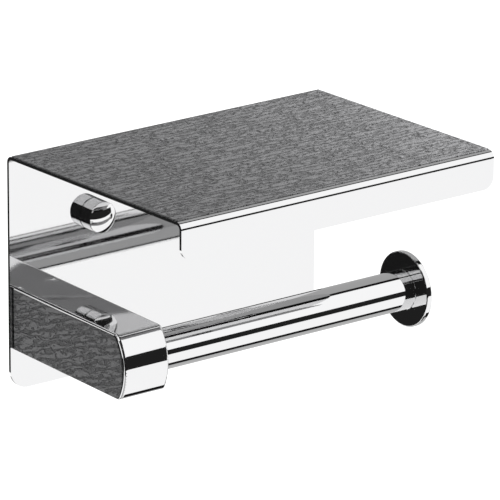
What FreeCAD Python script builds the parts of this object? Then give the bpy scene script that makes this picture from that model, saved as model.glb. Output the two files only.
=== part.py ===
"""Wall-mounted toilet paper holder with a phone shelf, as a parametric document.

Frame: +X to the right along the bar, +Y into the wall, +Z up. The origin lies on the wall,
midway between the two wall-screw holes. Lengths are millimetres and angles are degrees.
"""

import FreeCAD, Part
import math
import os
import re
import Sketcher
from FreeCAD import Rotation, Vector

# Driving dimensions: alias, value, what it is.
SIZES = [
    ("plate_width", 180.0, "width of the bent sheet: wall plate, shelf and lip"),
    ("plate_drop", 78.8, "screw line down to the plate's lower edge"),
    ("sheet_gauge", 1.5, "thickness of the bent sheet"),
    ("shelf_height", 37.2, "screw line up to the shelf's top, at the plate's front face"),
    ("shelf_depth", 136.7, "wall to the lip's outer face"),
    ("shelf_rise", 1.5, "angle by which the shelf rises towards its lip"),
    ("lip_height", 18.0, "shelf's top at its front down to the lip's lower edge"),
    ("bend_inner", 2.0, "inside radius of both bends"),
    ("plate_corner", 10.0, "radius of the plate's lower corners"),
    ("lip_corner", 6.0, "radius of the lip's lower corners"),
    ("skin_gauge", 0.5, "thickness of the textured skins"),
    ("skin_margin", 0.3, "bright border left round each skin"),
    ("screw_spacing", 84.6, "distance between the two wall screws"),
    ("screw_hole", 5.5, "diameter of the wall-screw holes"),
    ("arm_inset", 1.5, "plate's left edge to the arm's textured face"),
    ("arm_width", 26.6, "arm, textured face to inner cheek"),
    ("arm_height", 30.9, "arm, top to bottom"),
    ("arm_drop", 43.3, "screw line down to the arm's mid-height and the bar's axis"),
    ("arm_reach", 89.4, "wall to the tip of the arm's nose"),
    ("nose_radius", 27.0, "radius of the arm's rounded nose"),
    ("nose_lower", 2.0, "how far the nose's centre lies below the arm's mid-height"),
    ("nose_corner", 2.5, "rounding where the nose meets the top and the bottom"),
    ("arm_wall", 2.5, "wall of the arm's casting: top, nose and bottom"),
    ("cheek_wall", 2.5, "wall of the arm's casting on the bar's side"),
    ("cheek_round", 1.4, "rounding of the cheek's outer edge"),
    ("cover_gauge", 1.5, "thickness of the arm's side cover"),
    ("cover_bevel", 0.4, "bevel round the side cover"),
    ("peg_diameter", 4.0, "locating pegs of the side cover"),
    ("peg_length", 5.5, "length of the locating pegs"),
    ("post_diameter", 8.0, "posts that take the pegs"),
    ("first_post", 31.0, "wall to the first post"),
    ("post_pitch", 23.0, "distance between the posts"),
    ("fit_clearance", 0.1, "radial or side clearance of pieces that slip together"),
    ("block_depth", 20.0, "mounting block, along the arm"),
    ("block_screw", 3.0, "diameter of the block's screws"),
    ("sink_land", 0.15, "sheet left under the block screws' countersinks"),
    ("block_screw_reach", 9.0, "length of the block's screws"),
    ("block_screw_edge", 5.35, "block's top and bottom faces to the block screws' axes"),
    ("block_key", 2.0, "width across flats of the block screws' sockets"),
    ("block_key_depth", 1.3, "depth of the block screws' sockets"),
    ("grub_diameter", 5.0, "grub screw that locks the arm on its block"),
    ("grub_set_back", 11.0, "wall to the grub screw's axis"),
    ("grub_bite", 2.0, "how far the grub screw enters the block"),
    ("grub_recess", 0.4, "how far the grub screw sits below the arm's surface"),
    ("grub_key", 2.5, "width across flats of the grub screw's socket"),
    ("grub_key_depth", 2.0, "depth of the grub screw's socket"),
    ("bar_diameter", 19.4, "outside diameter of the bar"),
    ("bar_wall", 1.5, "wall of the bar's tube"),
    ("bar_standoff", 75.9, "wall to the bar's axis"),
    ("bar_free", 147.8, "free length of the bar, cheek to end disc"),
    ("bar_seat", 8.5, "depth of the bar's seat in the arm"),
    ("seat_clearance", 0.05, "radial clearance of the bar in its seat"),
    ("seat_floor", 4.0, "floor of the bar's seat"),
    ("boss_diameter", 25.0, "boss round the bar's seat"),
    ("insert_length", 14.0, "threaded inserts in the bar"),
    ("bolt_diameter", 6.0, "bolt and stud that hold the bar and its disc"),
    ("bolt_bite", 11.0, "length of bolt in its insert"),
    ("bolt_head", 10.5, "diameter of the bolt's head"),
    ("bolt_head_height", 3.3, "height of the bolt's head"),
    ("bolt_crown", 1.1, "bevel round the bolt's head"),
    ("bolt_key", 4.0, "width across flats of the bolt's socket"),
    ("bolt_key_depth", 2.0, "depth of the bolt's socket"),
    ("washer_diameter", 12.0, "washer under the bolt's head"),
    ("washer_gauge", 1.2, "thickness of the washer"),
    ("disc_diameter", 37.0, "end disc"),
    ("disc_thickness", 3.1, "thickness of the end disc"),
    ("disc_round", 0.7, "rounding of the end disc's rim"),
    ("disc_spigot", 3.0, "length of the disc's spigot inside the bar"),
    ("stud_bite", 1.6, "how far the stud enters the disc beyond its spigot"),
    ("stud_length", 13.0, "length of the stud"),
    ("stud_key", 3.0, "width across flats of the stud's socket"),
    ("stud_key_depth", 3.0, "depth of the stud's socket"),
    ("cap_diameter", 15.4, "screw caps"),
    ("cap_length", 7.95, "plate's face to the end of a cap's straight side"),
    ("cap_dome", 2.0, "rise of a cap's domed end"),
    ("cap_seat", 0.1, "air between a seated cap and the plate"),
    ("cap_bevel", 0.35, "bevel at a cap's mouth"),
    ("cap_gap", 0.3, "air between a cap's base and the cap's floor"),
    ("cap_clearance", 0.08, "radial clearance of a cap on its base"),
    ("base_diameter", 12.2, "cap bases, inside the caps"),
    ("base_length", 6.0, "length of a cap base"),
    ("base_web", 1.5, "web of a cap base, clamped by the wall screw's head"),
    ("head_room", 9.2, "bore of a cap base, for the wall screw's head"),
    ("ring_offset", 2.4, "plate's face to the groove of the grip ring"),
    ("ring_width", 1.4, "width of the grip ring's groove"),
    ("ring_depth", 0.7, "depth of the grip ring's groove"),
    ("ring_ease", 0.02, "side clearance of the grip ring"),
]

# Places worked out from the driving dimensions.
HALF_WIDTH = "plate_width / 2"
BEND_OUTER = "(bend_inner + sheet_gauge)"
TOP_AT_WALL = "(shelf_height - sheet_gauge * tan(shelf_rise))"
TOP_AT_LIP = "(shelf_height + (shelf_depth - sheet_gauge) * tan(shelf_rise))"
SHEET_DROP = "(sheet_gauge / cos(shelf_rise))"
TOP_AT_LIP_INNER = "(shelf_height + (shelf_depth - 2 * sheet_gauge) * tan(shelf_rise))"
LIP_BOTTOM = f"({TOP_AT_LIP} - lip_height)"
ARM_LEFT = "(arm_inset - plate_width / 2)"
SKIN_RIGHT = f"({ARM_LEFT} + skin_gauge)"
COVER_RIGHT = f"({SKIN_RIGHT} + cover_gauge)"
ARM_RIGHT = f"({ARM_LEFT} + arm_width)"
CHEEK_INNER = f"({ARM_RIGHT} - cheek_wall)"
CAVITY_MIDDLE = f"(({COVER_RIGHT} + {CHEEK_INNER}) / 2)"
CAVITY_WIDTH = f"({CHEEK_INNER} - {COVER_RIGHT})"
ARM_BOTTOM = "(-arm_drop - arm_height / 2)"
BLOCK_HALF = "(arm_height / 2 - arm_wall - fit_clearance)"
SCREW_RISE = f"({BLOCK_HALF} - block_screw_edge)"
SINK_DEPTH = "(sheet_gauge - sink_land)"
SEAT_FLOOR = f"({ARM_RIGHT} - bar_seat)"
BAR_END = f"({ARM_RIGHT} + bar_free)"
BAR_BORE = "(bar_diameter / 2 - bar_wall)"
BOLT_RADIUS = "(bolt_diameter / 2)"
BOLT_HOLE = "(bolt_diameter / 2 + fit_clearance / 2)"
BOLT_FACE = f"({SEAT_FLOOR} - seat_floor - washer_gauge)"
CAP_RADIUS = "(cap_diameter / 2)"
BASE_RADIUS = "(base_diameter / 2)"

ALONG_X, ALONG_Y, ALONG_Z = Vector(1, 0, 0), Vector(0, 1, 0), Vector(0, 0, 1)
AWAY_FROM_WALL = Vector(0, -1, 0)
NEAR = 0.01

doc = FreeCAD.newDocument("PaperHolder")
sheet = doc.addObject("Spreadsheet::Sheet", "Sizes")
for row, (alias, size, note) in enumerate(SIZES, 1):
    sheet.set(f"A{row}", note)
    sheet.set(f"B{row}", str(size))
    sheet.setAlias(f"B{row}", alias)
doc.recompute()
ALIASES = re.compile(r"\b(" + "|".join(alias for alias, _, _ in SIZES) + r")\b")


def formula(text):
    """A formula in the sheet's names, as the expression engine reads it."""
    return ALIASES.sub(r"Sizes.\1", text)


def value(text):
    """What a formula comes to now."""
    return float(sheet.evalExpression(formula(text)))


def new_body(label):
    body = doc.addObject("PartDesign::Body", label)
    body.Label = label
    return body


def place(body, x="0", y="0", z="0", turn=None):
    """Put a body at a place given by formulas; turn is where its own Z axis then points."""
    if turn is not None:
        body.Placement.Rotation = Rotation(ALONG_Z, turn)
    for axis, text in zip("xyz", (x, y, z)):
        body.setExpression(f"Placement.Base.{axis}", formula(text))


def new_sketch(body, role, offset="0"):
    """A sketch on one of the body's own origin planes, offset along that plane's normal."""
    plane = next(item for item in body.Origin.OriginFeatures if item.Role == role)
    sketch = body.newObject("Sketcher::SketchObject", f"{body.Label}_sketch")
    sketch.AttachmentSupport = [(plane, "")]
    sketch.MapMode = "FlatFace"
    sketch.setExpression("AttachmentOffset.Base.z", formula(offset))
    return sketch


def hold(sketch, kind, item, point, text):
    """Tie one coordinate of a sketch point, or a circle's size, to a formula."""
    where = (item,) if point is None else (-1, 1, item, point)
    number = sketch.addConstraint(Sketcher.Constraint(kind, *where, value(text)))
    sketch.setExpression(f"Constraints[{number}]", formula(text))


def arc_between(start, end, radius, turn):
    """Arc from start to end, counter-clockwise for turn 1 and clockwise for turn -1."""
    chord = end - start
    sagitta_leg = math.sqrt(max(radius**2 - (chord.Length / 2) ** 2, 0.0))
    across = Vector(-chord.y, chord.x, 0).normalize()
    centre = (start + end) * 0.5 + across * sagitta_leg * turn
    first, last = (start, end) if turn > 0 else (end, start)
    angles = [math.atan2(point.y - centre.y, point.x - centre.x) for point in (first, last)]
    return Part.ArcOfCircle(Part.Circle(centre, ALONG_Z, radius), *angles)


def outline(sketch, corners):
    """Closed outline. A corner is (x, y), or (x, y, radius, turn) where an arc starts."""
    points = [Vector(value(corner[0]), value(corner[1]), 0) for corner in corners]
    ends = []
    for index, corner in enumerate(corners):
        start, end = points[index], points[(index + 1) % len(points)]
        if len(corner) == 2:
            side = sketch.addGeometry(Part.LineSegment(start, end), False)
            ends.append((side, 1, 2))
            continue
        radius, turn = corner[2:]
        side = sketch.addGeometry(arc_between(start, end, value(radius), turn), False)
        ends.append((side, 1, 2) if turn > 0 else (side, 2, 1))
    for index, (side, _, end) in enumerate(ends):
        follower, start, _ = ends[(index + 1) % len(ends)]
        sketch.addConstraint(Sketcher.Constraint("Coincident", side, end, follower, start))
    for (side, start, _), corner in zip(ends, corners):
        hold(sketch, "DistanceX", side, start, corner[0])
        hold(sketch, "DistanceY", side, start, corner[1])
        if len(corner) == 4:
            hold(sketch, "Radius", side, None, corner[2])


def circle(sketch, x, y, diameter):
    centre = Vector(value(x), value(y), 0)
    ring = sketch.addGeometry(Part.Circle(centre, ALONG_Z, value(diameter) / 2), False)
    hold(sketch, "DistanceX", ring, 3, x)
    hold(sketch, "DistanceY", ring, 3, y)
    hold(sketch, "Diameter", ring, None, diameter)


def hexagon(sketch, across_flats):
    reach = f"{across_flats} / sqrt(3)"
    corners = [(f"{reach} * cos({60 * step})", f"{reach} * sin({60 * step})") for step in range(6)]
    outline(sketch, corners)


def changed(body, feature, grows):
    """Recompute, and stop if the feature didn't add or remove material as it should."""
    before = body.Tip.Shape.Volume if body.Tip and body.Tip != feature else 0.0
    body.Tip = feature
    doc.recompute()
    after = feature.Shape.Volume
    if (after > before + NEAR) != grows or abs(after - before) < NEAR:
        raise RuntimeError(f"{body.Label}: {feature.Name} left {after:.2f} mm3 of {before:.2f}")


def pad(body, sketch, length, back=False, middle=False):
    tip = body.Tip
    feature = body.newObject("PartDesign::Pad", f"{body.Label}_pad")
    feature.Profile = sketch
    feature.setExpression("Length", formula(length))
    feature.Reversed = back
    feature.SideType = "Symmetric" if middle else "One side"
    body.Tip = tip if tip else feature
    changed(body, feature, True)


def pocket(body, sketch, depth, back=False):
    tip = body.Tip
    feature = body.newObject("PartDesign::Pocket", f"{body.Label}_pocket")
    feature.Profile = sketch
    feature.setExpression("Length", formula(depth))
    feature.Reversed = back
    body.Tip = tip
    changed(body, feature, False)
    return feature


def revolve(body, corners):
    """Turn an outline of (radius, height) corners about the body's own Z axis."""
    sketch = new_sketch(body, "XZ_Plane")
    outline(sketch, corners)
    feature = body.newObject("PartDesign::Revolution", f"{body.Label}_turned")
    feature.Profile = sketch
    feature.ReferenceAxis = (sketch, ["V_Axis"])
    feature.Angle = 360
    changed(body, feature, True)
    return feature


def dress(body, kind, size, chosen):
    """Round or bevel the edges of the body so far that the test picks."""
    tip = body.Tip
    names = [f"Edge{n}" for n, edge in enumerate(tip.Shape.Edges, 1) if chosen(edge)]
    if not names:
        raise RuntimeError(f"{body.Label}: no edge to dress with {size}")
    feature = body.newObject(f"PartDesign::{kind}", f"{body.Label}_{kind.lower()}")
    feature.Base = (tip, names)
    feature.setExpression("Radius" if kind == "Fillet" else "Size", formula(size))
    body.Tip = feature
    doc.recompute()


def straight_edges(direction, places):
    """Test for straight edges along a direction whose other two coordinates are a given pair."""
    kept = [n for n in range(3) if abs(direction[n]) < 0.5]
    targets = [(value(first), value(second)) for first, second in places]

    def test(edge):
        ends = [vertex.Point for vertex in edge.Vertexes]
        if len(ends) != 2 or abs(abs((ends[1] - ends[0]).normalize() * direction) - 1) > NEAR:
            return False
        at = [(ends[0][n] + ends[1][n]) / 2 for n in kept]
        return any(math.dist(at, target) < NEAR for target in targets)

    return test


def round_edges(diameter, where=lambda box: True):
    """Test for whole circles of a diameter whose bounding box passes a test of its own."""
    radius = value(diameter) / 2

    def test(edge):
        whole = len(edge.Vertexes) == 1 and abs(edge.Curve.Radius - radius) < NEAR
        return whole and where(edge.BoundBox)

    return test


def nose_corner_y(side, inset="0"):
    """Where the nose meets the arm's flat top (side +) or bottom (side -), inset all round."""
    half = f"(arm_height / 2 - {inset} {side} nose_lower)"
    return f"(-arm_reach + nose_radius - sqrt((nose_radius - {inset})^2 - {half}^2))"


def arm_outline(sketch, wall_end, inset="0"):
    """Side view of the arm: flat top and bottom, square at the wall, rounded nose."""
    top = f"(-arm_drop + arm_height / 2 - {inset})"
    bottom = f"(-arm_drop - arm_height / 2 + {inset})"
    outline(
        sketch,
        [
            (wall_end, top),
            (nose_corner_y("+", inset), top, f"nose_radius - {inset}", 1),
            (nose_corner_y("-", inset), bottom),
            (wall_end, bottom),
        ],
    )


def round_nose(body, inset="0"):
    places = [
        (nose_corner_y("+", inset), f"-arm_drop + arm_height / 2 - {inset}"),
        (nose_corner_y("-", inset), f"-arm_drop - arm_height / 2 + {inset}"),
    ]
    dress(body, "Fillet", f"nose_corner - {inset}", straight_edges(ALONG_X, places))


def outer_rim(x):
    """Test for the arm's outline edges in the plane at x, leaving out the edge at the wall."""
    plane, wall = value(x), -value("sheet_gauge")

    def test(edge):
        box = edge.BoundBox
        in_plane = abs(box.XMin - plane) < NEAR and abs(box.XMax - plane) < NEAR
        return in_plane and box.YMin < wall - NEAR

    return test


def make_bent_plate():
    """Wall plate, shelf and lip, bent from one sheet."""
    body = new_body("bent_plate")
    side_view = new_sketch(body, "YZ_Plane")
    rear_corner = ("0", TOP_AT_WALL)
    front_corner = ("-shelf_depth", TOP_AT_LIP)
    lip_inner = ("-shelf_depth + sheet_gauge", f"{TOP_AT_LIP_INNER} - {SHEET_DROP}")
    plate_inner = ("-sheet_gauge", f"shelf_height - {SHEET_DROP}")
    corners = [
        ("0", "-plate_drop"),
        rear_corner,
        front_corner,
        ("-shelf_depth", LIP_BOTTOM),
        ("-shelf_depth + sheet_gauge", LIP_BOTTOM),
        lip_inner,
        plate_inner,
        ("-sheet_gauge", "-plate_drop"),
    ]
    outline(side_view, corners)
    pad(body, side_view, "plate_width", middle=True)
    dress(body, "Fillet", BEND_OUTER, straight_edges(ALONG_X, [rear_corner, front_corner]))
    dress(body, "Fillet", "bend_inner", straight_edges(ALONG_X, [lip_inner, plate_inner]))
    lower = [(f"{side}{HALF_WIDTH}", "-plate_drop") for side in ("", "-")]
    dress(body, "Fillet", "plate_corner", straight_edges(ALONG_Y, lower))
    lip_ends = [(f"{side}{HALF_WIDTH}", LIP_BOTTOM) for side in ("", "-")]
    dress(body, "Fillet", "lip_corner", straight_edges(ALONG_Y, lip_ends))
    holes = new_sketch(body, "XZ_Plane")
    for side in ("", "-"):
        circle(holes, f"{side}screw_spacing / 2", "0", "screw_hole")
    pocket(body, holes, "sheet_gauge", back=True)
    block_holes = new_sketch(body, "XZ_Plane")
    clear = "(block_screw + 2 * fit_clearance)"
    for side in ("+", "-"):
        circle(block_holes, CAVITY_MIDDLE, f"-arm_drop {side} {SCREW_RISE}", clear)
    pocket(body, block_holes, "sheet_gauge", back=True)
    dress(body, "Chamfer", SINK_DEPTH, round_edges(clear, lambda box: abs(box.YMin) < NEAR))


def make_shelf_skin():
    """Textured skin bonded to the flat of the shelf, from bend to bend."""
    body = new_body("shelf_skin")
    side_view = new_sketch(body, "YZ_Plane")
    rear = f"(-{BEND_OUTER} * tan(45 - shelf_rise / 2) - skin_margin)"
    front = f"(-shelf_depth + {BEND_OUTER} * tan(45 + shelf_rise / 2) + skin_margin)"
    rise = "skin_gauge / cos(shelf_rise)"
    top = "{0} - {1} * tan(shelf_rise)"
    rear_z = top.format(TOP_AT_WALL, rear)
    front_z = top.format(TOP_AT_WALL, front)
    rear_side = [(rear, rear_z), (rear, f"{rear_z} + {rise}")]
    front_side = [(front, f"{front_z} + {rise}"), (front, front_z)]
    outline(side_view, rear_side + front_side)
    pad(body, side_view, "plate_width - 2 * skin_margin", middle=True)


def make_arm_shell():
    """Casting of the arm, open towards the side cover and the wall, with the bar's seat."""
    body = new_body("arm_shell")
    profile = new_sketch(body, "YZ_Plane", COVER_RIGHT)
    arm_outline(profile, "-sheet_gauge")
    pad(body, profile, f"{ARM_RIGHT} - {COVER_RIGHT}")
    round_nose(body)
    dress(body, "Fillet", "cheek_round", outer_rim(ARM_RIGHT))
    cavity = new_sketch(body, "YZ_Plane", COVER_RIGHT)
    arm_outline(cavity, "0", "arm_wall")
    pocket(body, cavity, CAVITY_WIDTH, back=True)
    boss = new_sketch(body, "YZ_Plane", CHEEK_INNER)
    circle(boss, "-bar_standoff", "-arm_drop", "boss_diameter")
    pad(body, boss, "bar_seat - cheek_wall + seat_floor", back=True)
    for number in range(2):
        post_y = f"-first_post - {number} * post_pitch"
        post = new_sketch(body, "YZ_Plane", CHEEK_INNER)
        circle(post, post_y, "-arm_drop", "post_diameter")
        pad(body, post, CAVITY_WIDTH, back=True)
        peg_hole = new_sketch(body, "YZ_Plane", COVER_RIGHT)
        circle(peg_hole, post_y, "-arm_drop", "peg_diameter + 2 * fit_clearance")
        pocket(body, peg_hole, "peg_length + fit_clearance", back=True)
    seat = new_sketch(body, "YZ_Plane", ARM_RIGHT)
    circle(seat, "-bar_standoff", "-arm_drop", "bar_diameter + 2 * seat_clearance")
    pocket(body, seat, "bar_seat")
    bolt_hole = new_sketch(body, "YZ_Plane", SEAT_FLOOR)
    circle(bolt_hole, "-bar_standoff", "-arm_drop", f"2 * {BOLT_HOLE}")
    pocket(body, bolt_hole, "seat_floor")
    grub_hole = new_sketch(body, "XY_Plane", ARM_BOTTOM)
    circle(grub_hole, CAVITY_MIDDLE, "-grub_set_back", "grub_diameter + fit_clearance")
    pocket(body, grub_hole, "arm_wall", back=True)


def make_arm_cover():
    """Side cover of the arm, with pegs that enter the casting's posts."""
    body = new_body("arm_cover")
    profile = new_sketch(body, "YZ_Plane", SKIN_RIGHT)
    arm_outline(profile, "-sheet_gauge")
    pad(body, profile, "cover_gauge")
    round_nose(body)
    dress(body, "Chamfer", "cover_bevel", outer_rim(SKIN_RIGHT))
    for number in range(2):
        peg = new_sketch(body, "YZ_Plane", COVER_RIGHT)
        circle(peg, f"-first_post - {number} * post_pitch", "-arm_drop", "peg_diameter")
        pad(body, peg, "peg_length")


def make_arm_skin():
    """Textured skin bonded to the side cover."""
    body = new_body("arm_skin")
    border = "(cover_bevel + skin_margin)"
    profile = new_sketch(body, "YZ_Plane", ARM_LEFT)
    arm_outline(profile, f"-sheet_gauge - {border}", border)
    pad(body, profile, "skin_gauge")
    round_nose(body, border)


def make_mounting_block():
    """Block screwed to the plate from behind; the arm slides over it."""
    body = new_body("mounting_block")
    profile = new_sketch(body, "YZ_Plane", f"{COVER_RIGHT} + fit_clearance")
    wall_end, front_end = "-sheet_gauge", "-sheet_gauge - block_depth"
    low, high = f"-arm_drop - {BLOCK_HALF}", f"-arm_drop + {BLOCK_HALF}"
    outline(profile, [(wall_end, low), (wall_end, high), (front_end, high), (front_end, low)])
    pad(body, profile, f"{CAVITY_WIDTH} - 2 * fit_clearance")
    threads = new_sketch(body, "XZ_Plane", "sheet_gauge")
    thread = "(block_screw + fit_clearance)"
    for side in ("+", "-"):
        circle(threads, CAVITY_MIDDLE, f"-arm_drop {side} {SCREW_RISE}", thread)
    pocket(body, threads, "block_screw_reach", back=True)
    dimple = new_sketch(body, "XY_Plane", low)
    circle(dimple, CAVITY_MIDDLE, "-grub_set_back", "grub_diameter + fit_clearance")
    pocket(body, dimple, "grub_bite + fit_clearance", back=True)


def make_block_screws():
    """The two countersunk screws that hold the block, as one group."""
    body = new_body("block_screws")
    place(body, CAVITY_MIDDLE, "0", f"-arm_drop - {SCREW_RISE}", AWAY_FROM_WALL)
    head = f"(block_screw / 2 + {SINK_DEPTH} + fit_clearance / 2)"
    shank = "(block_screw / 2)"
    turned = revolve(
        body,
        [
            ("0", "0"),
            (head, "0"),
            (shank, f"{SINK_DEPTH} - fit_clearance / 2"),
            (shank, "block_screw_reach"),
            ("0", "block_screw_reach"),
        ],
    )
    socket = new_sketch(body, "XY_Plane")
    hexagon(socket, "block_key")
    key = pocket(body, socket, "block_key_depth", back=True)
    pair = body.newObject("PartDesign::LinearPattern", "block_screws_pair")
    pair.Originals = [turned, key]
    upward = next(item for item in body.Origin.OriginFeatures if item.Role == "Y_Axis")
    pair.Direction = (upward, [""])
    pair.setExpression("Length", formula(f"2 * {SCREW_RISE}"))
    pair.Occurrences = 2
    changed(body, pair, True)


def make_grub_screw():
    body = new_body("grub_screw")
    place(body, CAVITY_MIDDLE, "-grub_set_back", f"{ARM_BOTTOM} + grub_recess")
    radius = "(grub_diameter / 2)"
    length = "(arm_wall - grub_recess + fit_clearance + grub_bite)"
    revolve(body, [("0", "0"), (radius, "0"), (radius, length), ("0", length)])
    socket = new_sketch(body, "XY_Plane")
    hexagon(socket, "grub_key")
    pocket(body, socket, "grub_key_depth", back=True)


def make_tube(label, start, length, inner, outer):
    """Plain tube along the bar's axis."""
    body = new_body(label)
    place(body, start, "-bar_standoff", "-arm_drop", ALONG_X)
    revolve(body, [(inner, "0"), (outer, "0"), (outer, length), (inner, length)])


def make_bar():
    """Bar, its two threaded inserts, and the bolt and washer in the arm."""
    make_tube("bar_tube", SEAT_FLOOR, "(bar_seat + bar_free)", BAR_BORE, "(bar_diameter / 2)")
    make_tube("bar_insert", SEAT_FLOOR, "insert_length", BOLT_HOLE, BAR_BORE)
    end_start = f"{BAR_END} - disc_spigot - insert_length"
    make_tube("end_insert", end_start, "insert_length", BOLT_HOLE, BAR_BORE)
    make_tube("bar_washer", BOLT_FACE, "washer_gauge", BOLT_HOLE, "(washer_diameter / 2)")
    bolt = new_body("bar_bolt")
    place(bolt, BOLT_FACE, "-bar_standoff", "-arm_drop", ALONG_X)
    length = "(washer_gauge + seat_floor + bolt_bite)"
    revolve(
        bolt,
        [
            ("0", "-bolt_head_height"),
            ("bolt_head / 2 - bolt_crown", "-bolt_head_height"),
            ("bolt_head / 2", "-bolt_head_height + bolt_crown"),
            ("bolt_head / 2", "0"),
            (BOLT_RADIUS, "0"),
            (BOLT_RADIUS, length),
            ("0", length),
        ],
    )
    socket = new_sketch(bolt, "XY_Plane", "-bolt_head_height")
    hexagon(socket, "bolt_key")
    pocket(bolt, socket, "bolt_key_depth", back=True)


def make_end_disc():
    """Disc that keeps the roll on the bar, its spigot inside the tube, and its stud."""
    disc = new_body("end_disc")
    place(disc, BAR_END, "-bar_standoff", "-arm_drop", ALONG_X)
    spigot = f"{BAR_BORE} - seat_clearance"
    revolve(
        disc,
        [
            (BOLT_HOLE, "-disc_spigot"),
            (spigot, "-disc_spigot"),
            (spigot, "0"),
            ("disc_diameter / 2", "0"),
            ("disc_diameter / 2", "disc_thickness"),
            ("0", "disc_thickness"),
            ("0", "stud_bite"),
            (BOLT_HOLE, "stud_bite"),
        ],
    )
    dress(disc, "Fillet", "disc_round", round_edges("disc_diameter"))
    stud = new_body("end_stud")
    place(stud, f"{BAR_END} + stud_bite - stud_length", "-bar_standoff", "-arm_drop", ALONG_X)
    far_end = [(BOLT_RADIUS, "stud_length"), ("0", "stud_length")]
    revolve(stud, [("0", "0"), (BOLT_RADIUS, "0")] + far_end)
    socket = new_sketch(stud, "XY_Plane")
    hexagon(socket, "stud_key")
    pocket(stud, socket, "stud_key_depth", back=True)


def make_screw_cap(side, x):
    """One wall screw's base, grip ring and pull-off cap, all on the screw's axis."""
    base = new_body(f"cap_base_{side}")
    place(base, x, "-sheet_gauge", "0", AWAY_FROM_WALL)
    groove_end = "(ring_offset + ring_width)"
    groove_floor = f"({BASE_RADIUS} - ring_depth)"
    revolve(
        base,
        [
            ("screw_hole / 2", "0"),
            (BASE_RADIUS, "0"),
            (BASE_RADIUS, "ring_offset"),
            (groove_floor, "ring_offset"),
            (groove_floor, groove_end),
            (BASE_RADIUS, groove_end),
            (BASE_RADIUS, "base_length"),
            ("head_room / 2", "base_length"),
            ("head_room / 2", "base_web"),
            ("screw_hole / 2", "base_web"),
        ],
    )
    ring = new_body(f"grip_ring_{side}")
    place(ring, x, "-sheet_gauge", "0", AWAY_FROM_WALL)
    ring_outer = f"({BASE_RADIUS} + cap_clearance - ring_ease)"
    ring_start = "(ring_offset + ring_ease)"
    ring_end = f"({groove_end} - ring_ease)"
    start_side = [(groove_floor, ring_start), (ring_outer, ring_start)]
    end_side = [(ring_outer, ring_end), (groove_floor, ring_end)]
    revolve(ring, start_side + end_side)
    cap = new_body(f"screw_cap_{side}")
    place(cap, x, "-sheet_gauge", "0", AWAY_FROM_WALL)
    bore = f"({BASE_RADIUS} + cap_clearance)"
    floor = "(base_length + cap_gap)"
    dome_radius = f"(({CAP_RADIUS}^2 + cap_dome^2) / (2 * cap_dome))"
    revolve(
        cap,
        [
            ("0", floor),
            (bore, floor),
            (bore, "cap_seat"),
            (f"{CAP_RADIUS} - cap_bevel", "cap_seat"),
            (CAP_RADIUS, "cap_seat + cap_bevel"),
            (CAP_RADIUS, "cap_length", dome_radius, 1),
            ("0", "cap_length + cap_dome"),
        ],
    )


def export():
    """Check every object, then write each sub-part's shape."""
    doc.recompute()
    for item in doc.Objects:
        if "Invalid" in item.State or "Error" in item.State:
            raise RuntimeError(f"{item.Label}: {item.State}")
    bodies = [item for item in doc.Objects if item.TypeId == "PartDesign::Body"]
    for body in bodies:
        if body.Shape.isNull() or not body.Shape.isValid():
            raise RuntimeError(f"{body.Label}: its shape isn't valid")
    os.makedirs("parts", exist_ok=True)
    for body in bodies:
        body.Shape.exportStep(f"parts/{body.Label}.step")
        print(f"{body.Label}: {len(body.Shape.Solids)} solid(s), {body.Shape.Volume:.1f} mm3")


make_bent_plate()
make_shelf_skin()
make_arm_shell()
make_arm_cover()
make_arm_skin()
make_mounting_block()
make_block_screws()
make_grub_screw()
make_bar()
make_end_disc()
make_screw_cap("left", "-screw_spacing / 2")
make_screw_cap("right", "screw_spacing / 2")
export()
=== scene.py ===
import math

import bmesh
import bpy
from mathutils import Matrix, Vector


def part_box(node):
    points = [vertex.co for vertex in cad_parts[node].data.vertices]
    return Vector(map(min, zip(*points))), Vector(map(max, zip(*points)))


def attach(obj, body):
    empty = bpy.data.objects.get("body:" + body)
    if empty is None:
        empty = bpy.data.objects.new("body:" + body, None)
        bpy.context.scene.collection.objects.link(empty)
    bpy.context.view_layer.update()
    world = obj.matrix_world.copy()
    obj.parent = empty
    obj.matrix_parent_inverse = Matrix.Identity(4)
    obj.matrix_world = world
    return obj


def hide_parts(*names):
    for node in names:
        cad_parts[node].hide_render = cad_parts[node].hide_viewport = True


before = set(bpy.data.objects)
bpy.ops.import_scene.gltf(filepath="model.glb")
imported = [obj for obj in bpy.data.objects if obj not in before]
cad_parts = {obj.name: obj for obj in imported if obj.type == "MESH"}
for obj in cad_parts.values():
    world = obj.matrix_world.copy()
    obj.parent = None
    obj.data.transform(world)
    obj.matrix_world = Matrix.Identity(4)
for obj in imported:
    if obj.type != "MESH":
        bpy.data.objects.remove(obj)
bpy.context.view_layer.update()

bl_info = {
    "name": "Paper holder with shelf",
    "version": (1, 0, 0),
    "blender": (4, 5, 0),
    "location": "View3D > Sidebar > Paper Holder",
    "description": "Builds the polished pieces of a toilet paper holder with a phone shelf",
    "category": "Add Mesh",
}

HOLDER = "holder"
ARC_STEPS = 24
CHEEK_STEPS = 10
TURN_STEPS = 144
MM = 0.001

# Embossed grain: how the ridges wander and break up, in ridge lengths and widths
WANDER_SCALE = 0.35
WANDER_REACH = 6.0
BREAK_SCALE = 1.1
BREAK_REACH = 17.0
RIDGE_TURN = 2.2
TROUGH, CREST = -0.8, 0.3
ARM_GRAIN_RISE = 0.35

# Studio cards: the places of their planes, in metres
CARD_FRONT, CARD_LEFT, CARD_REAR, CARD_TOP, CARD_UNDER = -2.7, -1.6, 3.0, 2.6, -0.6
DARK, DARKEST = 0.02, 0.01


# ---------------------------------------------------------------- settings

def length(name, text, default):
    """A setting that is a length, in metres."""
    return bpy.props.FloatProperty(
        name=name, description=text, default=default, precision=5, subtype="DISTANCE", unit="LENGTH"
    )


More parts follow.
